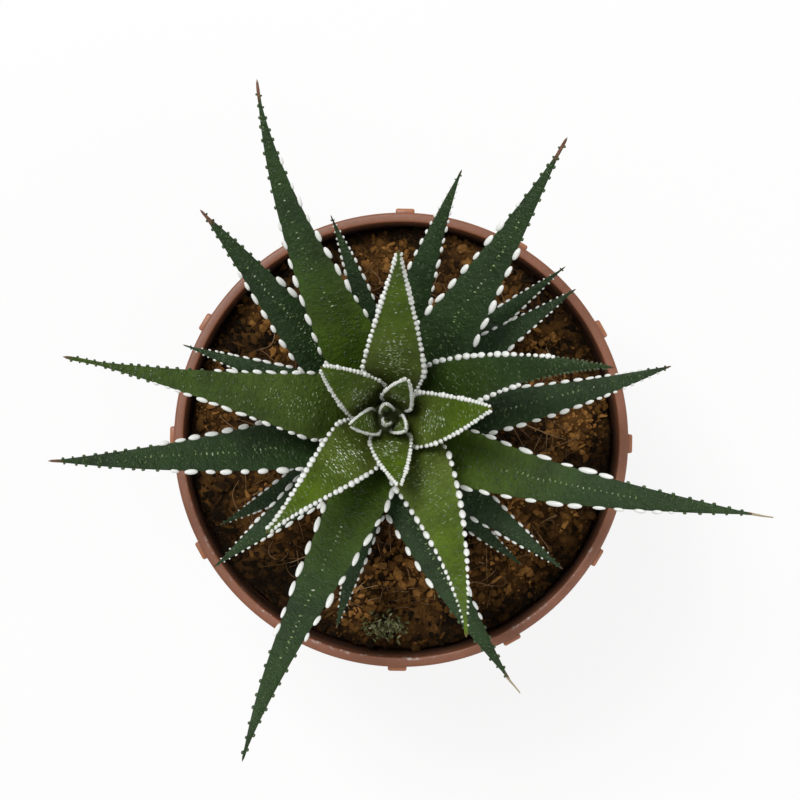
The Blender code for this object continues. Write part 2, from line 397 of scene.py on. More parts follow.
@dataclass(frozen=True)
class Finish:
    """A finish: its name, gloss, unevenness, and the height of its grain in millimetres."""

    name: str
    roughness: float
    clouds: float
    grains: float
    amount: float
    relief: float
    specular: float = 0.5

    def colour(self, nodes: Nodes) -> object:
        """The finish's colour before it is mottled: a colour or a socket."""
        raise NotImplementedError

    def build(self) -> Material:
        """Builds the material.

        Returns:
            A material with a Principled shader, mottled and grained.
        """
        look = bpy.data.materials.new(self.name)
        look.use_nodes = True
        shader = look.node_tree.nodes["Principled BSDF"]
        nodes = Nodes(look.node_tree)
        mottle = nodes.add("Group", node_tree=mottle_group())
        nodes.feed(mottle.inputs["Colour"], self.colour(nodes))
        values = {"Cloud Size": self.clouds, "Grain Size": self.grains, "Amount": self.amount}
        for name, value in values.items():
            mottle.inputs[name].default_value = value
        nodes.feed(shader.inputs["Base Color"], mottle.outputs["Colour"])
        bump = nodes.add("Bump")
        bump.inputs["Distance"].default_value = self.relief * MM
        nodes.feed(bump.inputs["Height"], mottle.outputs["Grain"])
        nodes.feed(shader.inputs["Normal"], bump.outputs["Normal"])
        shader.inputs["Roughness"].default_value = self.roughness
        shader.inputs["Specular IOR Level"].default_value = self.specular
        return look


@dataclass(frozen=True)
class Shaded(Finish):
    """A finish that runs through three colours with each grain's own shade."""

    dark: Colour = (0, 0, 0)
    middle: Colour = (0.5, 0.5, 0.5)
    pale: Colour = (1, 1, 1)

    def colour(self, nodes: Nodes) -> Socket:
        """The colour of the grain's shade."""
        shade = nodes.add("Attribute", attribute_name="shade").outputs["Fac"]
        first = nodes.mix(nodes.ramp(shade, 0.0, 0.55), self.dark, self.middle)
        return nodes.mix(nodes.ramp(shade, 0.55, 1.0), first, self.pale)


@dataclass(frozen=True)
class PotPlastic(Finish):
    """Terracotta-coloured plastic with a painted highlight on the ribs, lime deposits and a painted highlight
    on the rim's inner edge, and painted shade down the inner wall.

    Inner and outer faces are told apart by the middle of the wall, which leans by wall_slope.
    """

    body: Colour = (0.235, 0.088, 0.045)
    # paler rib colour: a painted highlight where the ribs catch the light
    edge: Colour = (0.4, 0.155, 0.07)
    # pale colour of the rim's inner edge: lime deposits together with a painted highlight
    lime_and_highlight: Colour = (0.55, 0.5, 0.46)
    rim_radius: float = 60
    rim_height: float = 92
    wall_foot: float = 41.4
    wall_slope: float = 15.4 / 78

    def colour(self, nodes: Nodes) -> Socket:
        """The plastic's colour with a painted highlight on its ribs, lime and a painted highlight on the
        rim's inner edge, and painted shade down the inner wall.
        """
        where = nodes.add("TexCoord").outputs["Object"]
        parts = nodes.add("SeparateXYZ", where).outputs
        squares = [nodes.times(part, part) for part in parts[:2]]
        radius = nodes.maths("SQRT", nodes.maths("ADD", *squares))
        # painted highlight: the proud ribs get the paler rib colour
        proud = nodes.ramp(radius, (self.rim_radius - 0.4) * MM, (self.rim_radius + 0.9) * MM)
        base = nodes.mix(proud, self.body, self.edge)
        leaning = nodes.maths("ADD", nodes.times(parts[2], self.wall_slope), self.wall_foot * MM)
        middle = nodes.maths("MINIMUM", leaning, (self.rim_radius - 1.9) * MM)
        inner = nodes.ramp(nodes.maths("SUBTRACT", radius, middle), 0.3 * MM, -0.3 * MM)
        # lime deposits and a painted highlight: pale patches on the upper inner rim, only on the -Y side that
        # faces the key lamp
        high = nodes.ramp(parts[2], (self.rim_height - 5) * MM, (self.rim_height - 1) * MM)
        patchy = nodes.ramp(nodes.noise(where, 420.0, 4, 0.75), 0.53, 0.66)
        side = nodes.ramp(parts[1], 0.01, -0.05)
        edge = nodes.times(inner, high)
        lime_and_highlight_mask = nodes.times(edge, nodes.times(patchy, side))
        limed_and_highlit = nodes.mix(nodes.times(lime_and_highlight_mask, 0.8), base, self.lime_and_highlight)
        # painted shade: the inner wall turns near black from about 2 mm below the rim downwards, standing in
        # for the pot's own shadow
        deep = nodes.ramp(parts[2], (self.rim_height - 2) * MM, (self.rim_height - 9) * MM)
        deep = nodes.times(deep, nodes.ramp(parts[2], 3.8 * MM, 4.6 * MM))
        inside = nodes.times(nodes.times(inner, deep), 0.85)
        return nodes.mix(inside, limed_and_highlit, (0.035, 0.02, 0.014))


@dataclass(frozen=True)
class LeafTissue(Finish):
    """Waxy leaf tissue, olive in young leaves and dark blue-green in old ones, dry and brown at the tips."""

    young_base: Colour = (0.118, 0.165, 0.026)
    young_end: Colour = (0.087, 0.148, 0.003)
    old_base: Colour = (0.032, 0.058, 0.006)
    old_middle: Colour = (0.054, 0.1, 0.003)
    old_end: Colour = (0.014, 0.037, 0.009)
    dry: Colour = (0.16, 0.075, 0.04)

    def colour(self, nodes: Nodes) -> Socket:
        """The leaf's colour along its length, by its age."""
        along = nodes.add("SeparateXYZ", nodes.add("UVMap", uv_map="leaf").outputs[0]).outputs[0]
        age = nodes.add("Attribute", attribute_name="age").outputs["Fac"]
        sun = nodes.add("Attribute", attribute_name="sun").outputs["Fac"]
        burn = nodes.add("Attribute", attribute_name="dryness").outputs["Fac"]
        young = nodes.mix(nodes.ramp(along, 0.25, 0.7), self.young_base, self.young_end)
        bright = nodes.times(nodes.ramp(along, 0.62, 0.25), sun)
        old = nodes.mix(bright, self.old_end, self.old_middle)
        old = nodes.mix(nodes.ramp(along, 0.2, 0.02), old, self.old_base)
        tissue = nodes.mix(age, young, old)
        where = nodes.add("TexCoord").outputs["Object"]
        speck = nodes.add("TexVoronoi")
        nodes.feed(speck.inputs["Vector"], where)
        speck.inputs["Scale"].default_value = 1100
        pale = nodes.times(nodes.ramp(speck.outputs["Distance"], 0.22, 0.08), 0.16)
        tissue = nodes.mix(pale, tissue, (0.12, 0.19, 0.07))
        rim = nodes.maths("SUBTRACT", 1.0, nodes.times(burn, 0.1))
        edge = nodes.add("MapRange", along, rim, nodes.maths("ADD", rim, 0.03), 0.0, 1.0).outputs[0]
        return nodes.mix(nodes.times(edge, nodes.ramp(burn, 0.0, 0.3)), tissue, self.dry)


# ------------------------------------------------------------------ pot


@dataclass
class Pot:
    """The ribbed plastic pot. Lengths are in millimetres."""

    rim_radius: float = 60
    rim_width: float = 2.6
    height: float = 92
    base_radius: float = 42
    wall: float = 1.2
    collar: float = 14
    collar_step: float = 1.6
    draft: float = 1.0
    channel: tuple[float, float, float] = (25, 37.5, 2.5)
    ribs: int = 12
    rib_turn: float = math.radians(-1)
    rib: tuple[float, float, float] = (1.1, 5.0, 9.0)
    rib_drop: float = 0.9
    drains: int = 8
    drain_radius: float = 2.6
    steps: int = 180
    finish: PotPlastic = PotPlastic("pot_plastic_painted_light", 0.42, 60.0, 900.0, 0.11, 0.06)
    rib_rounding: float = 0.55
    shell_crease: float = math.radians(38)
    rib_crease: float = math.radians(50)

    def wall_radius(self, z: float) -> float:
        """The outer radius of the tapering wall at a height."""
        top = self.rim_radius - self.draft - self.collar_step
        return self.base_radius + (top - self.base_radius) * z / (self.height - self.collar)

    def profile(self) -> list[tuple[float, float]]:
        """The wall's closed outline, from the rim down outside, across the base and up inside."""
        foot = self.height - self.collar
        low, high, rise = self.channel
        inner = self.rim_radius - self.rim_width
        corners = [
            (0, 0, 0),
            (low, 0, 0.4),
            (low + 1, rise, 0.4),
            (high, rise, 0.4),
            (high + 1, 0, 0.4),
            (self.base_radius - 0.4, 0, 1.2),
            (self.wall_radius(1.6), 1.6, 0.6),
            (self.wall_radius(foot - 0.8), foot - 0.8, 0.3),
            (self.rim_radius - self.draft, foot, 0.5),
            (self.rim_radius, self.height - 1, 0.3),
            (self.rim_radius - 0.1, self.height, 0.7),
            (inner, self.height, 0.6),
            (inner, self.height - 3, 0.5),
            (self.rim_radius - self.draft - self.rim_width + 0.6, foot + 1, 0.5),
            (self.wall_radius(foot - 2) - self.wall, foot - 2, 0.5),
            (self.wall_radius(rise + self.wall) - self.wall, rise + self.wall, 0.5),
            (low + 0.4, rise + self.wall, 0.4),
            (low - 0.6, self.wall, 0.4),
            (0, self.wall, 0),
        ]
        return outline(corners)

    def add_ribs(self, bm: BMesh) -> None:
        """Adds the rounded grip ribs to the collar.

        Args:
            bm: The pot's shape.
        """
        proud, width, high = self.rib
        deep = proud + 1.2
        middle = self.rim_radius + proud - deep / 2
        for i in range(self.ribs):
            turn = Matrix.Rotation(math.tau * i / self.ribs + self.rib_turn, 4, "Z")
            spot = Matrix.Translation(Vector((middle, 0, self.height - self.rib_drop - high / 2)) * MM)
            size = Matrix.Diagonal((deep * MM, width * MM, high * MM, 1))
            made = bmesh.ops.create_cube(bm, size=1, matrix=turn @ spot @ size)["verts"]
            edges = list({e for v in made for e in v.link_edges})
            bmesh.ops.bevel(
                bm,
                geom=edges,
                offset=self.rib_rounding * MM,
                segments=3,
                affect="EDGES",
                profile=0.5,
                material=-1,
            )

    def drill(self, piece: Piece) -> None:
        """Cuts the drain holes in the raised channel of the base.

        Args:
            piece: The pot.
        """
        low, high, rise = self.channel
        bm = bmesh.new()
        for i in range(self.drains):
            angle = math.tau * (i + 0.5) / self.drains
            spot = Vector((math.cos(angle), math.sin(angle), 0)) * (low + high) / 2 + Vector((0, 0, rise))
            bmesh.ops.create_cone(
                bm,
                cap_ends=True,
                segments=32,
                radius1=self.drain_radius * MM,
                radius2=self.drain_radius * MM,
                depth=4 * self.wall * MM,
                matrix=Matrix.Translation(spot * MM),
            )
        cutter = linked("drill", mesh_of("drill", bm))
        cut = piece.modifiers.new("drains", "BOOLEAN")
        cut.operation = "DIFFERENCE"
        cut.solver = "EXACT"
        cut.object = cutter
        bpy.context.view_layer.update()
        drilled = bpy.data.meshes.new_from_object(piece.evaluated_get(bpy.context.evaluated_depsgraph_get()))
        piece.modifiers.remove(cut)
        piece.data = drilled
        bpy.data.objects.remove(cutter)

    def build(self) -> Piece:
        """Builds the pot, which stands for its solid.

        Returns:
            The piece.
        """
        bm = turned(self.profile(), self.steps)
        piece = piece_of(mesh_of("pot_shell", bm), self.finish.build())
        self.drill(piece)
        piece.data.set_sharp_from_angle(angle=self.shell_crease)
        bm = bmesh.new()
        self.add_ribs(bm)
        ribs = piece_of(mesh_of("pot_ribs", bm), piece.data.materials[0])
        ribs.data.set_sharp_from_angle(angle=self.rib_crease)
        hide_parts("pot")
        LOG.info("pot: shell with %d faces, %d ribs", len(piece.data.polygons), self.ribs)
        return piece


# ------------------------------------------------------------------ compost


@dataclass
class Compost:
    """The compost: a rough ground strewn with grains, bark chips and fibres. Lengths are in millimetres."""

    pot: Pot
    plant_axis: Vector
    wall_level: float = 84
    mound: float = 1.5
    ground_radius: float = 56.2
    stem_clearance: float = 8.5
    fibre_radius: float = 50
    moss_at: tuple[float, float] = (-4.5, -50.5)
    grains: int = 9500
    chips: int = 520
    fibres: int = 520
    moss_blades: int = 260
    seed: int = 11
    ground: Shaded = Shaded(
        "compost_ground", 0.95, 260.0, 1500.0, 0.3, 0.6, 0.1,
        (0.01, 0.006, 0.003), (0.05, 0.023, 0.007), (0.12, 0.055, 0.014),
    )
    crumb: Shaded = Shaded(
        "compost_grain", 0.85, 500.0, 2600.0, 0.32, 0.3, 0.12,
        (0.011, 0.006, 0.002), (0.115, 0.052, 0.012), (0.36, 0.17, 0.045),
    )
    straw: Shaded = Shaded(
        "compost_straw", 0.7, 300.0, 2000.0, 0.15, 0.1, 0.3,
        (0.07, 0.035, 0.015), (0.24, 0.13, 0.055), (0.42, 0.29, 0.15),
    )
    moss: Shaded = Shaded(
        "dry_moss", 0.8, 400.0, 2000.0, 0.2, 0.1, 0.3,
        (0.05, 0.045, 0.02), (0.16, 0.17, 0.06), (0.36, 0.35, 0.2),
    )

    def level(self, x: float, y: float) -> float:
        """The height of the ground at a point: mounded, raised at the stem and sunk at the wall."""
        r = math.hypot(x, y)
        rise = self.mound * (1 - min(1, max(0, (r - 14) / 36)) ** 1.3)
        foot = math.hypot(x - self.plant_axis.x, y - self.plant_axis.y)
        collar = 1.4 * max(0.0, 1 - (foot - 8) / 8) if foot < 16 else 0
        dip = -1.3 * max(0.0, (r - 51) / 5) ** 2
        rough = 1.5 * noise.noise(Vector((x, y, 3)) * 0.13) + 1.2 * noise.noise(Vector((x, y, 9)) * 0.36)
        return self.wall_level + rise + collar + dip + rough - 0.9

    def build_ground(self) -> Piece:
        """Builds the rough body of the compost, which stands for its solid."""
        rise, wall = self.pot.channel[2], self.pot.wall
        floor = rise + wall + 0.3
        foot = self.pot.height - self.pot.collar
        edge = self.pot.rim_radius - self.pot.rim_width - 1.1
        rings = [(edge * i / 60, self.wall_level) for i in range(61)]
        profile = rings + [
            (edge - 0.5, foot + 3),
            (self.pot.wall_radius(foot - 2) - wall - 0.4, foot - 2.4),
            (self.pot.wall_radius(floor) - wall - 0.4, floor),
            (self.pot.channel[0] + 0.1, floor),
            (self.pot.channel[0] - 0.9, wall + 0.3),
            (0, wall + 0.3),
        ]
        bm = turned(profile, 200)
        for vert in bm.verts:
            if abs(vert.co.z - self.wall_level * MM) < WELD:
                vert.co.z = self.level(vert.co.x / MM, vert.co.y / MM) * MM
        piece = piece_of(mesh_of("compost_ground", bm), self.ground.build())
        paint(piece.data, "shade", [0.5 + 0.9 * noise.noise(v.co * 220) for v in piece.data.vertices])
        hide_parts("soil")
        return piece

    def spot(self, rng: Random) -> tuple[float, float]:
        """A random point of the ground, clear of the stem and the wall."""
        while True:
            r = self.ground_radius * math.sqrt(rng.random())
            angle = rng.uniform(0, math.tau)
            x, y = r * math.cos(angle), r * math.sin(angle)
            if math.hypot(x - self.plant_axis.x, y - self.plant_axis.y) > self.stem_clearance:
                return x, y

    def shade_at(self, x: float, y: float, rng: Random) -> float:
        """How pale a grain is, from 0 to 1: darkened towards the wall as painted shade, with paler patches
        elsewhere.
        """
        patch = 0.44 + 0.8 * noise.noise(Vector((x, y, 20)) * 0.08)
        # painted shade: grains darken from 49 mm out towards the pot wall
        wall = max(0.0, (math.hypot(x, y) - 49) / 8)
        return min(1.0, max(0.0, patch + rng.gauss(0, 0.2) - 0.55 * wall))

    def lie(self, x: float, y: float, lift: float, rng: Random, tilt: float, size: tuple) -> Matrix:
        """A place on the ground, turned at random.

        Args:
            x: Where it lies.
            y: Where it lies.
            lift: How far its middle is above the ground.
            rng: Where its turn comes from.
            tilt: How far it may lean.
            size: Its scale, in millimetres.

        Returns:
            The matrix.
        """
        angle = rng.uniform(0, math.tau)
        along = Vector((math.cos(angle), math.sin(angle), rng.uniform(-tilt, tilt)))
        up = Vector((rng.uniform(-tilt, tilt), rng.uniform(-tilt, tilt), 1))
        at = Vector((x, y, self.level(x, y) + lift)) * MM
        return placed(at, along, up, tuple(s * MM for s in size))

    def build_grains(self) -> list[Piece]:
        """Strews the grains and the bark chips, in two pieces."""
        rng = Random(self.seed)
        shapes = [crumb_template(rng, 0.28) for _ in range(7)]
        fine, coarse = Strewn(), Strewn()
        for _ in range(self.grains):
            x, y = self.spot(rng)
            size = min(1.35, 0.26 + rng.expovariate(3.6))
            scale = (size * rng.uniform(0.9, 1.5), size * rng.uniform(0.7, 1.1), size * rng.uniform(0.6, 0.9))
            place = self.lie(x, y, 0.25 * size, rng, 0.5, scale)
            fine.add(rng.choice(shapes), place, self.shade_at(x, y, rng))
        for _ in range(self.chips):
            x, y = self.spot(rng)
            long = rng.uniform(0.9, 2.5)
            scale = (long, rng.uniform(0.3, 0.75), rng.uniform(0.25, 0.5))
            place = self.lie(x, y, rng.uniform(0.2, 0.8), rng, 0.35, scale)
            if math.hypot(*place.translation.xy) < 54 * MM:
                coarse.add(rng.choice(shapes), place, min(1.0, self.shade_at(x, y, rng) + 0.1))
        look = self.crumb.build()
        return [fine.piece("compost_grains", look, False), coarse.piece("compost_chips", look, False)]

    def build_fibres(self) -> Piece:
        """Strews coir fibres and a few long straws."""
        rng = Random(self.seed + 1)
        shapes = [strand_template(rng, bend) for bend in (2.5, 4, 6, 8)]
        strewn = Strewn()
        for i in range(self.fibres):
            x, y = self.spot(rng)
            if math.hypot(x, y) > self.fibre_radius:
                continue
            long = rng.uniform(2.5, 8) if i % 12 else rng.uniform(10, 17)
            thick = rng.uniform(0.08, 0.2)
            place = self.lie(x * 0.93, y * 0.93, rng.uniform(0.7, 1.5), rng, 0.14, (long, long, long))
            template = rng.choice(shapes)
            place = place @ Matrix.Diagonal((1, thick / long, thick / long, 1))
            strewn.add(template, place, rng.betavariate(2, 2))
        return strewn.piece("compost_fibres", self.straw.build())

    def build_moss(self) -> Piece:
        """Builds the small dry tuft of moss near the rim."""
        rng = Random(self.seed + 2)
        shapes = [crumb_template(rng, 0.2) for _ in range(3)]
        strewn = Strewn()
        for _ in range(self.moss_blades):
            x, y = self.moss_at[0] + rng.gauss(0, 2.6), self.moss_at[1] + rng.gauss(0, 1.5)
            if math.hypot(x, y) > 54.5:
                continue
            lean = Vector((rng.uniform(-1, 1), rng.uniform(-1, 1), rng.uniform(0.2, 1.3)))
            at = Vector((x, y, self.level(x, y) + rng.uniform(0.3, 1.9))) * MM
            scale = (rng.uniform(0.5, 1.3) * MM, rng.uniform(0.2, 0.42) * MM, 0.16 * MM)
            strewn.add(rng.choice(shapes), placed(at, lean, Vector((0.3, 0.1, 1)), scale), rng.random())
        return strewn.piece("dry_moss", self.moss.build())

    def build(self) -> None:
        """Builds every piece of the compost."""
        pieces = [self.build_ground(), *self.build_grains(), self.build_fibres(), self.build_moss()]
        for piece in pieces:
            LOG.info("compost: %s with %d faces", piece.name, len(piece.data.polygons))


# ------------------------------------------------------------------ leaves


class Side(Enum):
    """The two faces of a leaf."""

    UPPER = 1
    LOWER = -1


@dataclass(frozen=True)
class Leaf:
    """One leaf. Angles are in degrees anticlockwise from +X seen from above, lengths in millimetres.

    A larger taper narrows it sooner, hook turns its tip, and roll turns its upper face to its right.
    The pearls are the white beads along its edges: their length, width and spacing where they are largest.
    Sun, from 0 to 1, yellows its lower half, dryness browns its tip, and a thread is its withered end.
    """

    leaves_stem_at: float
    points_to: float
    reach: float
    rise: float
    width: float
    taper: float = 1.0
    hook: float = 0.0
    roll: float = 0.0
    pearls: tuple[float, float, float] = (2.0, 1.0, 2.8)
    sun: float = 0.0
    dryness: float = 0.3
    thread: float = 0.0


LEAVES: tuple[Leaf, ...] = (
    Leaf(241, 241, 1.5, 44, 3, pearls=(0.8, 0.8, 1.25)),
    Leaf(103, 103, 3.5, 47, 4, pearls=(0.9, 0.85, 1.35)),
    Leaf(-34, -34, 5, 50, 5.5, pearls=(1.0, 0.95, 1.45)),
    Leaf(195, 190, 9.5, 56, 7.5, pearls=(1.1, 1.0, 1.6)),
    Leaf(64, 64, 10.5, 60, 9, pearls=(1.3, 1.2, 1.85)),
    Leaf(-87, -80, 16, 65, 12, pearls=(1.5, 1.3, 2.05)),
    Leaf(139, 142, 20, 70, 13, taper=0.9, pearls=(1.55, 1.3, 2.1)),
    Leaf(-8, 6, 24.5, 74, 15.5, pearls=(1.65, 1.35, 2.2)),
    Leaf(221, 223, 37.5, 88, 15.5, taper=1.35, pearls=(2.0, 1.45, 2.6)),
    Leaf(83, 86, 38, 95, 16, taper=1.15, pearls=(2.0, 1.45, 2.6)),
    Leaf(-54, -70, 52, 90, 16.5, taper=1.3, hook=-20, pearls=(2.7, 1.5, 3.5)),
    Leaf(172, 169, 75.5, 82, 17, taper=1.5, pearls=(3.0, 1.1, 3.9), sun=0.5),
    Leaf(33, 13, 52, 94, 13.5, taper=1.2, hook=-22, pearls=(2.4, 1.5, 3.0), sun=0.4),
    Leaf(-106, -113, 86, 76, 14.5, hook=9, pearls=(4.2, 1.5, 6.2), sun=0.7, dryness=0.15),
    Leaf(118, 111, 85, 72, 15, taper=1.25, hook=-17, pearls=(3.6, 1.35, 5.2), sun=0.8, dryness=0.7),
    Leaf(-34, -14.5, 90, 66, 14.5, hook=8, pearls=(4.4, 1.4, 5.8), sun=0.9, dryness=0.3, thread=5),
    Leaf(199, 187, 80.5, 68, 15, hook=-8, roll=18, pearls=(3.4, 1.5, 4.8), dryness=0.5),
    Leaf(54, 57.5, 79.5, 62, 16, taper=1.25, hook=4, pearls=(3.5, 1.5, 5.2), dryness=0.9),
    Leaf(-81, -65, 70.5, 50, 14, hook=11, pearls=(3.6, 1.45, 4.9), dryness=0.4, thread=5),
    Leaf(141, 132, 68.5, 50, 14, pearls=(3.4, 1.4, 4.6), dryness=0.8),
    Leaf(-1, 10.5, 70, 52, 13, taper=0.9, hook=8, roll=-22, pearls=(3.0, 1.2, 3.9)),
    Leaf(226, 220.5, 58, 32, 11.5, hook=-2, pearls=(2.4, 1.1, 3.2)),
    Leaf(82, 73.5, 64, 44, 11, hook=-8, pearls=(2.6, 1.2, 3.8)),
    Leaf(-49, -41, 59, 26, 11.5, hook=3, pearls=(2.4, 1.1, 3.4)),
    Leaf(157, 160.5, 56, 24, 8, pearls=(2.4, 1.0, 3.0)),
    Leaf(36, 34.5, 58, 26, 10.5, pearls=(2.2, 1.0, 3.2)),
    Leaf(-102, -104, 56, 22, 10, hook=-2, pearls=(2.2, 1.0, 3.0)),
    Leaf(98, 106, 54, 24, 8, hook=7, pearls=(2.3, 1.1, 3.0)),
    Leaf(218, 212.5, 52, 17, 9.5, hook=-5, pearls=(2.1, 1.0, 2.9)),
    Leaf(46, 40.5, 60, 20, 8.5, hook=-3, pearls=(2.2, 1.0, 3.0)),
    Leaf(-60, -48, 52.5, 10, 9, hook=10, pearls=(2.1, 1.0, 3.0)),
)


def smooth_step(x: float) -> float:
    """0 below 0, 1 above 1, and a smooth ramp between."""
    x = min(1.0, max(0.0, x))
    return x * x * (3 - 2 * x)


def heading(azimuth: float, elevation: float) -> Vector:
    """The unit vector of that azimuth and elevation, both in degrees."""
    level, turn = math.cos(math.radians(elevation)), math.radians(azimuth)
    return Vector((level * math.cos(turn), level * math.sin(turn), math.sin(math.radians(elevation))))


class LeafForm:
    """The curved surface of one leaf, in millimetres, with the same growth rules as its solid."""

    STEM_RADIUS = 8
    FULLNESS = 7.0
    PITCH = 0.9
    FIRST_HEIGHT = 4
    STEEPEST = 88.0
    EASING = 2.3
    NEAR_PULL = 0.32
    FAR_PULL = 0.3
    ARCHING = 0.6
    BASE_SHARE = 0.72
    WIDEST_AT = 0.25
    MOST_WRAP = 1.05
    CROWN = 0.10
    KEEL_AT_BASE = 0.30
    KEEL = 0.56

    def __init__(self, leaf: Leaf, order: int, axis: Vector, ground: float) -> None:
        """Works out the spine.

        Args:
            leaf: The leaf's own values.
            order: Its place from the youngest, which is 1.
            axis: The plant's axis.
            ground: The level of the compost at the wall.
        """
        self.leaf, self.order, self.axis = leaf, order, axis
        radius = self.STEM_RADIUS * (1 - math.exp(-order / self.FULLNESS))
        start = heading(leaf.leaves_stem_at, 0) * radius
        start.z = ground + self.FIRST_HEIGHT + self.PITCH * (len(LEAVES) - order)
        tip = heading(leaf.points_to, 0) * leaf.reach
        tip.z = ground + leaf.rise
        chord = tip - start
        self.length = chord.length
        slope = math.degrees(math.asin(chord.z / chord.length))
        lift = self.STEEPEST - self.EASING * order
        leaving = heading(leaf.leaves_stem_at, lift)
        ending = heading(leaf.points_to + leaf.hook, slope - self.ARCHING * (lift - slope))
        self.controls = (
            start,
            start + leaving * self.NEAR_PULL * chord.length,
            tip - ending * self.FAR_PULL * chord.length,
            tip,
        )
        self.kept: dict[float, tuple] = {}

    def station(self, t: float) -> tuple:
        """The spine at share t: its middle, direction, upwards direction, radius, half width and lean."""
        if t in self.kept:
            return self.kept[t]
        a, b, c, d = self.controls
        s = 1 - t
        middle = a * s**3 + b * 3 * s * s * t + c * 3 * s * t * t + d * t**3
        along = ((b - a) * s * s + (c - b) * 2 * s * t + (d - c) * t * t).normalized()
        across = Vector((0, 0, 1)).cross(along).normalized()
        radius = middle.to_2d().length
        lean = Matrix.Rotation(math.radians(self.leaf.roll) * smooth_step(t / 0.4), 3, along)
        self.kept[t] = (middle, along, along.cross(across), radius, self.half_width(t, radius), lean)
        return self.kept[t]

    def half_width(self, t: float, radius: float) -> float:
        """Half the leaf's width at share t of its length."""
        if t < self.WIDEST_AT:
            share = self.BASE_SHARE + (1 - self.BASE_SHARE) * smooth_step(t / self.WIDEST_AT)
        else:
            share = (1 - min(1.0, (t - self.WIDEST_AT) / (1 - self.WIDEST_AT))) ** self.leaf.taper
            blunt = math.sqrt(max(0.0, 1 - max(0.0, (t - 0.96) / 0.04) ** 2))
            share = max(share, 0.055 * blunt)
        free = max(1e-3, share * self.leaf.width / 2)
        return (free**-4 + (self.MOST_WRAP * radius) ** -4) ** -0.25

    def point(self, t: float, u: float, side: Side) -> Vector:
        """A point of the surface.

        Args:
            t: Its share of the leaf's length.
            u: Its place across, from -1 at the right edge to 1 at the left.
            side: The face it is on.

        Returns:
            The point, in millimetres.
        """
        middle, _, up, radius, half, lean = self.station(t)
        edge = min(0.35, 0.25 * half) * math.sqrt(max(0.0, 1 - u * u))
        if side is Side.UPPER:
            height = half * self.CROWN * (1 - u * u) + edge
        else:
            deep = half * (self.KEEL_AT_BASE + (self.KEEL - self.KEEL_AT_BASE) * smooth_step(t / 0.45))
            height = -deep * (1 - abs(u) ** 1.6) - edge
        wrap = Matrix.Rotation(u * half / radius, 3, "Z")
        return middle + lean @ (wrap @ (middle + up * height) - middle) + self.axis

    def axes(self, t: float, u: float, side: Side) -> tuple[Vector, Vector, Vector]:
        """The directions at a point: along the leaf, across it to the left, and out of the face."""
        step = 0.004
        t0, t1 = max(0.0, t - step), min(0.995, t + step)
        along = (self.point(t1, u, side) - self.point(t0, u, side)).normalized()
        near = max(-1.0, min(0.9, u - 0.05))
        across = (self.point(t, near + 0.1, side) - self.point(t, near, side)).normalized()
        out = along.cross(across).normalized() * side.value
        return along, out.cross(along) * side.value, out

    def spacing(self, start: float, end: float, gap: object) -> list[float]:
        """Shares of the length that lie gap(t) millimetres apart.

        Args:
            start: The first share.
            end: The last share.
            gap: A function of the share that gives the distance to the next.

        Returns:
            The shares.
        """
        shares, t = [], start
        while t < end:
            shares.append(t)
            t += gap(t) / (self.length * 1.06)
        return shares


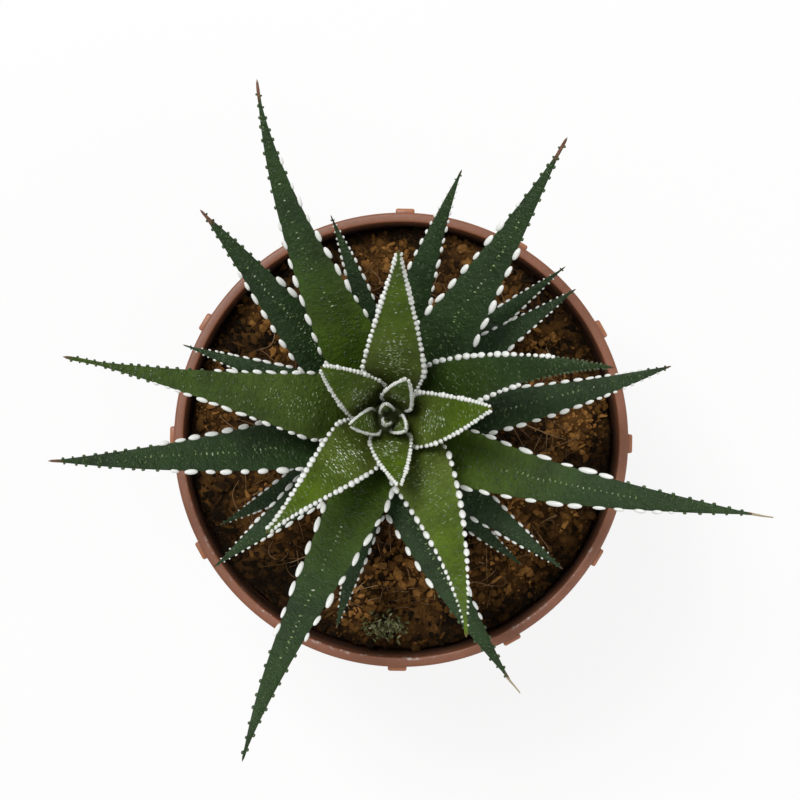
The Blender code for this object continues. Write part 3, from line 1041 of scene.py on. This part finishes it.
@dataclass
class Tubercles:
    """The pearls, bands and bumps of one leaf."""

    form: LeafForm
    rng: Random
    pearl: Mesh
    speck: Mesh
    strewn: Strewn = field(default_factory=Strewn)

    FIRST_OUTER = 11
    INNER_FADE = 0.3
    FIRST_PEARL = 0.07
    LAST_PEARL = 0.975
    TOOTHED = range(12, 21)
    WHITE_PART = 0.68
    WHITE_TO_TIP = 0.93
    TOOTH = (1.0, 0.75)
    BAND = (1.05, 0.48, 0.34)
    BAND_STEP = 1.9
    BAND_BREAKS = 0.08
    GIRTH = 1.25
    BUMP_ROWS = 1.05
    BUMP_STEP = 0.85
    MIDLINED = range(14, 22)
    MIDLINE_STEP = 1.5

    def edge_share(self, t: float) -> float:
        """How large the pearls are at share t of a leaf's length, against the largest."""
        return (0.55 + 0.45 * smooth_step((t - 0.06) / 0.26)) * (1 - 0.8 * smooth_step((t - 0.52) / 0.44))

    def gap_at(self, t: float, gap: float, fade: float) -> float:
        """The distance between pearls at share t of a leaf's length.

        Args:
            t: The share.
            gap: The distance where they are largest.
            fade: How much of their change in size there is, from 0 to 1.

        Returns:
            The distance in millimetres.
        """
        near = max(0.45, self.edge_share(t)) if t < 0.3 else max(0.62, self.edge_share(t))
        return gap * (1 - fade * (1 - near))

    def add_pearls(self) -> None:
        """Adds the white pearls along both edges, which become green teeth near an older leaf's tip."""
        long, wide, gap = self.form.leaf.pearls
        inner = self.form.order < self.FIRST_OUTER
        fade = self.INNER_FADE if inner else 1.0
        for sign in (-1, 1):
            start = self.FIRST_PEARL + self.rng.uniform(0, 0.02)
            for t in self.form.spacing(start, self.LAST_PEARL, lambda t: self.gap_at(t, gap, fade)):
                t = min(self.LAST_PEARL, t + self.rng.uniform(-0.09, 0.09) * gap / self.form.length)
                size = 1 - fade * (1 - self.edge_share(t))
                size *= self.rng.uniform(0.7, 1.18)
                length, width = long * size, wide * (0.35 + 0.65 * size) * self.rng.uniform(0.82, 1.12)
                last = self.WHITE_TO_TIP
                if self.form.order in self.TOOTHED:
                    last = self.WHITE_PART + 0.09 * sign * math.cos(self.form.order)
                tooth = not inner and t + self.rng.gauss(0, 0.03) > last
                if tooth:
                    length, width = min(length, self.TOOTH[0]), min(width, self.TOOTH[1])
                along, across, out = self.form.axes(t, sign * 0.98, Side.UPPER)
                outward = across * sign
                at = self.form.point(t, sign, Side.UPPER) + outward * 0.16 * width + out * 0.1
                lean = along + outward * self.rng.uniform(-0.1, 0.16) + out * self.rng.uniform(-0.06, 0.06)
                lean.normalize()
                scale = (0.5 * length * MM, 0.5 * width * MM, 0.42 * width * MM)
                white = min(1.0, 0.8 + 0.3 * self.edge_share(t) + self.rng.uniform(-0.05, 0.08))
                shade = self.rng.uniform(0.03, 0.14) if tooth else white
                self.strewn.add(self.pearl, placed(at * MM, lean, out, scale), shade)

    def add_bands(self) -> None:
        """Adds the raised white bands across the underside."""
        gap = 0.75 * self.form.leaf.pearls[2] + 0.9
        for t in self.form.spacing(0.13, 0.93, lambda t: gap * (1 - 0.4 * t)):
            count = max(1, round(self.form.station(t)[4] * 2 * self.GIRTH / self.BAND_STEP))
            bow = self.rng.uniform(-0.25, 0.25)
            for i in range(count):
                u = (i + 0.5) / count * 1.8 - 0.9
                if self.rng.random() < self.BAND_BREAKS:
                    continue
                shift = (bow * u + self.rng.uniform(-0.25, 0.25)) / self.form.length
                here = min(0.97, max(0.05, t + shift))
                along, across, out = self.form.axes(here, u, Side.LOWER)
                at = self.form.point(here, u, Side.LOWER)
                size = (1 - 0.5 * t) * self.rng.uniform(0.8, 1.15)
                scale = tuple(share * size * MM for share in self.BAND)
                self.strewn.add(self.speck, placed(at * MM, across, out, scale), self.rng.uniform(0.8, 1.0))

    def add_bumps(self) -> None:
        """Adds the fine shiny bumps on the upper face, thickest near its base."""
        width = self.form.leaf.width
        young = 1 - smooth_step((self.form.order - 9) / 5)
        for t in self.form.spacing(0.16, 0.6, lambda t: self.BUMP_ROWS):
            count = max(1, round(self.form.station(t)[4] * 1.5 / self.BUMP_STEP))
            for i in range(count):
                u = (i + 0.5) / count * 1.5 - 0.75 + self.rng.gauss(0, 0.05)
                thick = math.exp(-(((t - 0.33) / 0.13) ** 2) - (u / 0.42) ** 2)
                if self.rng.random() < thick * (0.45 + 0.5 * young):
                    where = t + self.rng.gauss(0, 0.25) / self.form.length
                    white = (0.13 + 0.52 * young) * self.rng.uniform(0.55, 1.25)
                    self.add_bump(where, u, self.rng.uniform(0.19, 0.28), white)
        if self.form.order in self.MIDLINED:
            for t in self.form.spacing(0.34, 0.72, lambda t: self.MIDLINE_STEP):
                u = 0.1 * math.sin(9 * t + self.form.order) + self.rng.gauss(0, 0.03)
                if self.rng.random() < 0.75:
                    self.add_bump(t, u, self.rng.uniform(0.16, 0.28), self.rng.uniform(0.3, 0.75))
        for _ in range(int((7 - 4 * young) * width)):
            t, u = self.rng.uniform(0.2, 0.9), self.rng.uniform(-0.8, 0.8)
            self.add_bump(t, u, self.rng.uniform(0.14, 0.3), 0.25 * young + self.rng.uniform(0.0, 0.12))

    def add_bump(self, t: float, u: float, size: float, white: float) -> None:
        """Adds one bump to the upper face.

        Args:
            t: Its share of the leaf's length.
            u: Its place across.
            size: Half its width in millimetres.
            white: Its shade.
        """
        along, across, out = self.form.axes(t, u, Side.UPPER)
        at = self.form.point(t, u, Side.UPPER)
        long = size * self.rng.uniform(1.1, 2.1)
        lean = across + along * self.rng.uniform(-0.7, 0.7)
        scale = (long * MM, size * MM, 0.9 * size * MM)
        self.strewn.add(self.speck, placed(at * MM, lean, out, scale), white)


@dataclass
class Rosette:
    """The plant's leaves, with what grows on them."""

    axis: Vector
    ground: float
    stations: int = 84
    around: int = 32
    seed: int = 5
    tissue: LeafTissue = LeafTissue("leaf_tissue", 0.36, 90.0, 800.0, 0.32, 0.7, 0.3)
    tubercle: Shaded = Shaded(
        "white_tubercle", 0.28, 350.0, 1500.0, 0.04, 0.05, 0.6,
        (0.022, 0.052, 0.008), (0.2, 0.27, 0.1), (0.84, 0.85, 0.81),
    )
    dry: Shaded = Shaded(
        "dry_leaf_tip", 0.75, 300.0, 1500.0, 0.15, 0.05, 0.3,
        (0.12, 0.06, 0.03), (0.33, 0.25, 0.14), (0.5, 0.42, 0.28),
    )

    def __post_init__(self) -> None:
        """Builds the finishes and the small shapes that are copied."""
        self.tissue_look = self.tissue.build()
        self.tubercle_look = self.tubercle.build()
        self.dry_look = self.dry.build()
        self.pearl = bead_template(8, 6)
        self.speck = bead_template(6, 4)
        self.rng = Random(self.seed)

    def build_body(self, form: LeafForm, name: str) -> Piece:
        """Builds the leaf itself from a grid that is bent round into the leaf.

        Args:
            form: The leaf's surface.
            name: The leaf's node.

        Returns:
            The piece.
        """
        bm = bmesh.new()
        layer = bm.loops.layers.uv.new("leaf")
        bmesh.ops.create_grid(bm, x_segments=self.stations, y_segments=self.around, size=0.5)
        for face in bm.faces:
            for loop in face.loops:
                loop[layer].uv = (loop.vert.co.x + 0.5, loop.vert.co.y + 0.5)
        for vert in bm.verts:
            t = round(vert.co.x + 0.5, 6)
            angle = math.tau * (vert.co.y + 0.5)
            side = Side.UPPER if math.sin(angle) >= 0 else Side.LOWER
            spot = form.point(t, max(-1.0, min(1.0, math.cos(angle))), side)
            ripple = 0.12 * noise.noise(spot * 0.16 + Vector((0, 0, form.order)))
            vert.co = (spot + form.station(t)[2] * ripple * (1 - t)) * MM
        bmesh.ops.remove_doubles(bm, verts=bm.verts, dist=0.004 * MM)
        open_edges = [e for e in bm.edges if e.is_boundary]
        bmesh.ops.holes_fill(bm, edges=open_edges, sides=0)
        bmesh.ops.recalc_face_normals(bm, faces=bm.faces)
        piece = piece_of(mesh_of(f"{name}_body", bm), self.tissue_look)
        age = smooth_step((form.order - 10.7) / 2.2) * 0.9 + 0.1 * form.order / len(LEAVES)
        for key, value in (("age", age), ("sun", form.leaf.sun), ("dryness", form.leaf.dryness)):
            paint(piece.data, key, [value] * len(piece.data.vertices))
        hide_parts(name)
        return piece

    def add_thread(self, form: LeafForm, name: str) -> None:
        """Adds the dry thread that the leaf's tip has withered to.

        Args:
            form: The leaf's surface.
            name: The leaf's node.
        """
        along = form.station(0.99)[1]
        tip = form.point(1.0, 0, Side.UPPER)
        strewn = Strewn()
        shape = strand_template(self.rng, 0.6)
        long = form.leaf.thread
        at = tip + along * (long * 0.5 - 1.2)
        strewn.add(shape, placed(at * MM, along, Vector((0, 0, 1)), (long * MM, 0.34 * MM, 0.3 * MM)), 0.75)
        piece = strewn.piece(f"{name}_dry_thread", self.dry_look)

    def build(self) -> None:
        """Builds every leaf."""
        for order, leaf in enumerate(LEAVES, start=1):
            form = LeafForm(leaf, order, self.axis, self.ground)
            name = f"leaf_{order:02d}"
            body = self.build_body(form, name)
            low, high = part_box(name)
            tip = form.point(1.0, 0, Side.UPPER) * MM
            relief = Tubercles(form, self.rng, self.pearl, self.speck)
            relief.add_pearls()
            relief.add_bands()
            relief.add_bumps()
            beads = relief.strewn.piece(f"{name}_tubercles", self.tubercle_look)
            if leaf.thread:
                self.add_thread(form, name)
            apart = max(max(low[i] - tip[i], tip[i] - high[i], 0) for i in range(3)) / MM
            LOG.info("%s: %d faces, tip %.2f mm outside its solid", name, len(body.data.polygons), apart)


@dataclass(frozen=True)
class StemTissue(Finish):
    """Pale papery stem, browner towards the compost."""

    low: Colour = (0.12, 0.075, 0.035)
    high: Colour = (0.2, 0.24, 0.1)

    def colour(self, nodes: Nodes) -> Socket:
        """The stem's colour by height."""
        height = nodes.add("SeparateXYZ", nodes.add("TexCoord").outputs["Object"]).outputs[2]
        return nodes.mix(nodes.ramp(height, 0.086, 0.1), self.low, self.high)


def dress_stem(node: Piece) -> None:
    """Gives the stem's solid its finish.

    Args:
        node: The stem's node.
    """
    look = StemTissue("stem_bark", 0.75, 300.0, 1500.0, 0.3, 0.3).build()
    for slot in node.material_slots:
        slot.material = look
    LOG.info("stem: dressed")


# ------------------------------------------------------------------ studio


@dataclass
class Studio:
    """The camera above the pot, the soft lamps and the white floor. Lengths are in metres."""

    eye: Vector = field(default_factory=lambda: Vector((-0.0003, 0.0105, 0.642)))
    lens: float = 93.9
    sensor: float = 36
    sky: float = 0.46
    floor_white: float = 0.93
    floor_glow: float = 0.84
    lamps: tuple = (("key", (-0.3, 0.38, 1.0), 6.6, 0.36), ("fill", (0.6, -0.3, 0.8), 1.6, 0.6))

    def build_camera(self) -> None:
        """Places the camera, looking straight down."""
        data = bpy.data.cameras.new("camera")
        data.lens = self.lens
        data.sensor_width = self.sensor
        camera = linked("camera", data)
        camera.location = self.eye
        bpy.context.scene.camera = camera

    def build_lamp(self, name: str, at: tuple, watts: float, size: float) -> None:
        """Places a square soft lamp that faces the plant.

        Args:
            name: Its name.
            at: Where it hangs.
            watts: Its power.
            size: Its side.
        """
        data = bpy.data.lights.new(name, "AREA")
        data.energy = watts
        data.size = size
        lamp = linked(name, data)
        lamp.location = at
        aim = Vector((0, 0, 0.1)) - Vector(at)
        lamp.rotation_euler = aim.to_track_quat("-Z", "Y").to_euler()

    def build_floor(self) -> None:
        """Lays the white floor that the pot stands on."""
        bm = bmesh.new()
        bmesh.ops.create_grid(bm, x_segments=1, y_segments=1, size=3)
        floor = linked("floor", mesh_of("floor", bm))
        look = bpy.data.materials.new("floor_white")
        look.use_nodes = True
        tree = look.node_tree
        shader = tree.nodes["Principled BSDF"]
        shader.inputs["Base Color"].default_value = (*[self.floor_white] * 3, 1)
        shader.inputs["Roughness"].default_value = 0.9
        nodes = Nodes(tree)
        glow = nodes.add("Emission", (1, 1, 1, 1))
        share = nodes.times(nodes.add("LightPath").outputs["Is Camera Ray"], self.floor_glow)
        mix = nodes.add("MixShader", share, shader.outputs[0], glow.outputs[0])
        nodes.feed(tree.nodes["Material Output"].inputs["Surface"], mix.outputs[0])
        floor.data.materials.append(look)

    def build(self) -> None:
        """Builds the studio."""
        scene = bpy.context.scene
        scene.view_settings.view_transform = "Standard"
        world = bpy.data.worlds.new("studio")
        world.use_nodes = True
        world.node_tree.nodes["Background"].inputs["Color"].default_value = (1, 1, 1, 1)
        world.node_tree.nodes["Background"].inputs["Strength"].default_value = self.sky
        scene.world = world
        self.build_camera()
        for lamp in self.lamps:
            self.build_lamp(*lamp)
        self.build_floor()
        LOG.info("studio: camera, two lamps and a floor")


def main() -> None:
    """Builds every part of the scene in order."""
    logging.basicConfig(level=logging.INFO, format="%(name)s %(message)s")
    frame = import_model()
    low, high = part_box("stem")
    axis = Vector(((low[0] + high[0]) / 2, (low[1] + high[1]) / 2, 0)) / MM
    Studio().build()
    pot = Pot()
    pot.build()
    compost = Compost(pot, axis)
    compost.build()
    dress_stem(frame["nodes"]["stem"])
    Rosette(axis, compost.wall_level).build()


if __name__ == "__main__":
    main()
